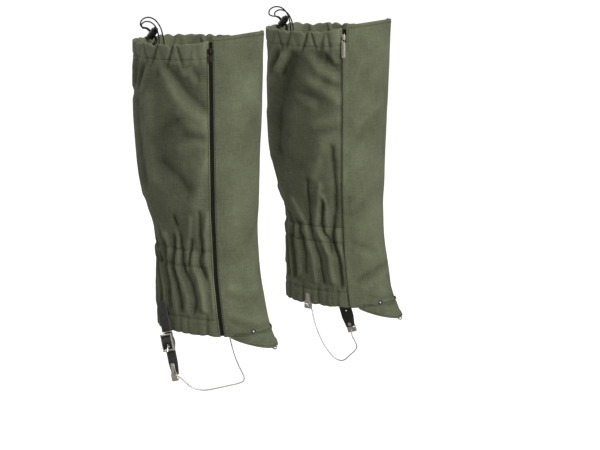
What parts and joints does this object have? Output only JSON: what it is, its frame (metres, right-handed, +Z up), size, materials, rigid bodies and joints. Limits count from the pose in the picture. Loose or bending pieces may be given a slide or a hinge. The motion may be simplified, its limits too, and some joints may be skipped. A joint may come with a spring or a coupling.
{
  "type": "gaiters",
  "caption": "Knee-high cloth leg gaiters with side zips, drawcord rim, elastic ankle, buckled strap and wire stirrup under the boot.",
  "frame": {"origin": "on the ground, midway between the axes of the two legs", "axes": "+X forward, the way the toes point; +Y to the wearer's left; +Z up"},
  "size_m": [0.2798, 0.3746, 0.4974],
  "materials": {
    "shin_cloth": "matte",
    "calf_cloth": "matte",
    "elastic": "matte",
    "zip_tape": "matte",
    "dark_zinc": "satin",
    "nickel": "satin",
    "leather": "satin",
    "black_cord": "matte",
    "black_plastic": "matte",
    "steel_wire": "polished"
  },
  "bodies": {
    "gaiter_right": {"front_panel_right": "shin_cloth", "instep_flap_right": "shin_cloth", "back_panel_right": "calf_cloth", "hem_elastic_right": "elastic", "ankle_elastic_right": "elastic", "lateral_zip_front_right": "zip_tape", "lateral_zip_back_right": "zip_tape", "medial_zip_front_right": "zip_tape", "medial_zip_back_right": "zip_tape", "drawcord_right": "black_cord", "buckle_tab_right": "leather", "clip_rivet_right": "nickel", "eyelet_lateral_right": "dark_zinc", "eyelet_medial_right": "dark_zinc", "lace_hook_right": "nickel"},
    "lateral_slider_right": {"lateral_zip_slider_right": "dark_zinc"},
    "lateral_pull_right": {"lateral_zip_pull_right": "dark_zinc"},
    "medial_slider_right": {"medial_zip_slider_right": "nickel"},
    "medial_pull_right": {"medial_zip_pull_right": "nickel"},
    "cord_lock_right": {"cord_lock_barrel_right": "black_plastic"},
    "lock_button_right": {"cord_lock_plunger_right": "black_plastic"},
    "strap_right": {"buckle_loop_right": "leather", "buckle_frame_right": "nickel", "strap_lower_right": "leather"},
    "prong_right": {"buckle_prong_right": "nickel"},
    "strap_end_right": {"strap_tail_right": "leather"},
    "clamp_right": {"wire_clamp_right": "nickel", "clamp_rivet_right": "nickel"},
    "clip_right": {"wire_clip_right": "nickel"},
    "stirrup_right": {"stirrup_wire_right": "steel_wire"},
    "gaiter_left": {"front_panel_left": "shin_cloth", "instep_flap_left": "shin_cloth", "back_panel_left": "calf_cloth", "hem_elastic_left": "elastic", "ankle_elastic_left": "elastic", "lateral_zip_front_left": "zip_tape", "lateral_zip_back_left": "zip_tape", "medial_zip_front_left": "zip_tape", "medial_zip_back_left": "zip_tape", "drawcord_left": "black_cord", "buckle_tab_left": "leather", "clip_rivet_left": "nickel", "eyelet_lateral_left": "dark_zinc", "eyelet_medial_left": "dark_zinc", "lace_hook_left": "nickel"},
    "lateral_slider_left": {"lateral_zip_slider_left": "dark_zinc"},
    "lateral_pull_left": {"lateral_zip_pull_left": "dark_zinc"},
    "medial_slider_left": {"medial_zip_slider_left": "nickel"},
    "medial_pull_left": {"medial_zip_pull_left": "nickel"},
    "cord_lock_left": {"cord_lock_barrel_left": "black_plastic"},
    "lock_button_left": {"cord_lock_plunger_left": "black_plastic"},
    "strap_left": {"buckle_loop_left": "leather", "buckle_frame_left": "nickel", "strap_lower_left": "leather"},
    "prong_left": {"buckle_prong_left": "nickel"},
    "strap_end_left": {"strap_tail_left": "leather"},
    "clamp_left": {"wire_clamp_left": "nickel", "clamp_rivet_left": "nickel"},
    "clip_left": {"wire_clip_left": "nickel"},
    "stirrup_left": {"stirrup_wire_left": "steel_wire"}
  },
  "joints": [
    {"name": "lateral_zip_slide_right", "type": "slide", "parent": "gaiter_right", "child": "lateral_slider_right", "axis": [0.0194, -0.0304, 0.9994], "range_m": [-0.115, 0]},
    {"name": "lateral_pull_swing_right", "type": "hinge", "parent": "lateral_slider_right", "child": "lateral_pull_right", "pos_m": [0.03624, -0.17461, 0.47516], "axis": [-0.8428, -0.5382, 0], "range_deg": [0, 150]},
    {"name": "medial_zip_slide_right", "type": "slide", "parent": "gaiter_right", "child": "medial_slider_right", "axis": [0.0194, 0.0304, 0.9994], "range_m": [-0.115, 0]},
    {"name": "medial_pull_swing_right", "type": "hinge", "parent": "medial_slider_right", "child": "medial_pull_right", "pos_m": [0.03603, -0.05973, 0.47518], "axis": [0.8428, -0.5382, 0], "range_deg": [0, 150]},
    {"name": "cord_lock_slide_right", "type": "slide", "parent": "gaiter_right", "child": "cord_lock_right", "axis": [-0.7547, 0, 0.6561], "range_m": [0, 0.003]},
    {"name": "cord_lock_press_right", "type": "slide", "parent": "cord_lock_right", "child": "lock_button_right", "axis": [0.6561, 0, 0.7547], "range_m": [-0.0019, 0], "stiffness_N_per_m": 300, "springref_m": 0.003},
    {"name": "strap_swing_right", "type": "hinge", "parent": "gaiter_right", "child": "strap_right", "pos_m": [-0.04136, -0.17315, 0.09239], "axis": [-0.9318, 0.2151, -0.2924], "range_deg": [0, 22]},
    {"name": "prong_lift_right", "type": "hinge", "parent": "strap_right", "child": "prong_right", "pos_m": [-0.03732, -0.17388, 0.079], "axis": [-0.9318, 0.2151, -0.2924], "range_deg": [0, 28]},
    {"name": "strap_end_lift_right", "type": "hinge", "parent": "gaiter_right", "child": "strap_end_right", "pos_m": [-0.04121, -0.17236, 0.09248], "axis": [0.9318, -0.2151, 0.2924], "range_deg": [0, 15], "stiffness_Nm_per_rad": 0.004, "springref_deg": -8.59},
    {"name": "clamp_turn_right", "type": "hinge", "parent": "strap_right", "child": "clamp_right", "pos_m": [-0.02646, -0.17946, 0.04027], "axis": [-0.225, -0.9744, 0], "range_deg": [-25, 25]},
    {"name": "clip_turn_right", "type": "hinge", "parent": "gaiter_right", "child": "clip_right", "pos_m": [-0.02172, -0.06057, 0.1065], "axis": [0, 1, 0], "range_deg": [-5, 1.6]},
    {"name": "stirrup_swing_right", "type": "hinge", "parent": "clip_right", "child": "stirrup_right", "pos_m": [-0.02172, -0.05987, 0.093], "axis": [-0.016, -0.8909, -0.454], "range_deg": [-25, 25]},
    {"name": "lateral_zip_slide_left", "type": "slide", "parent": "gaiter_left", "child": "lateral_slider_left", "axis": [0.0194, 0.0304, 0.9994], "range_m": [-0.115, 0]},
    {"name": "lateral_pull_swing_left", "type": "hinge", "parent": "lateral_slider_left", "child": "lateral_pull_left", "pos_m": [0.08924, 0.17461, 0.47516], "axis": [0.8428, -0.5382, 0], "range_deg": [0, 150]},
    {"name": "medial_zip_slide_left", "type": "slide", "parent": "gaiter_left", "child": "medial_slider_left", "axis": [0.0194, -0.0304, 0.9994], "range_m": [-0.115, 0]},
    {"name": "medial_pull_swing_left", "type": "hinge", "parent": "medial_slider_left", "child": "medial_pull_left", "pos_m": [0.08903, 0.05973, 0.47518], "axis": [-0.8428, -0.5382, 0], "range_deg": [0, 150]},
    {"name": "cord_lock_slide_left", "type": "slide", "parent": "gaiter_left", "child": "cord_lock_left", "axis": [-0.7547, 0, 0.6561], "range_m": [0, 0.003]},
    {"name": "cord_lock_press_left", "type": "slide", "parent": "cord_lock_left", "child": "lock_button_left", "axis": [0.6561, 0, 0.7547], "range_m": [-0.0019, 0], "stiffness_N_per_m": 300, "springref_m": 0.003},
    {"name": "strap_swing_left", "type": "hinge", "parent": "gaiter_left", "child": "strap_left", "pos_m": [0.01164, 0.17315, 0.09239], "axis": [0.9318, 0.2151, 0.2924], "range_deg": [0, 22]},
    {"name": "prong_lift_left", "type": "hinge", "parent": "strap_left", "child": "prong_left", "pos_m": [0.01568, 0.17388, 0.079], "axis": [0.9318, 0.2151, 0.2924], "range_deg": [0, 28]},
    {"name": "strap_end_lift_left", "type": "hinge", "parent": "gaiter_left", "child": "strap_end_left", "pos_m": [0.01179, 0.17236, 0.09248], "axis": [-0.9318, -0.2151, -0.2924], "range_deg": [0, 15], "stiffness_Nm_per_rad": 0.004, "springref_deg": -8.59},
    {"name": "clamp_turn_left", "type": "hinge", "parent": "strap_left", "child": "clamp_left", "pos_m": [0.02654, 0.17946, 0.04027], "axis": [0.225, -0.9744, 0], "range_deg": [-25, 25]},
    {"name": "clip_turn_left", "type": "hinge", "parent": "gaiter_left", "child": "clip_left", "pos_m": [0.03128, 0.06057, 0.1065], "axis": [0, 1, 0], "range_deg": [-5, 1.6]},
    {"name": "stirrup_swing_left", "type": "hinge", "parent": "clip_left", "child": "stirrup_left", "pos_m": [0.03128, 0.05987, 0.093], "axis": [0.016, -0.8909, 0.454], "range_deg": [-25, 25]},
    {"name": "left_gaiter_apart", "type": "slide", "parent": "gaiter_right", "child": "gaiter_left", "axis": [0, 1, 0], "range_m": [0, 0.15]}
  ]
}
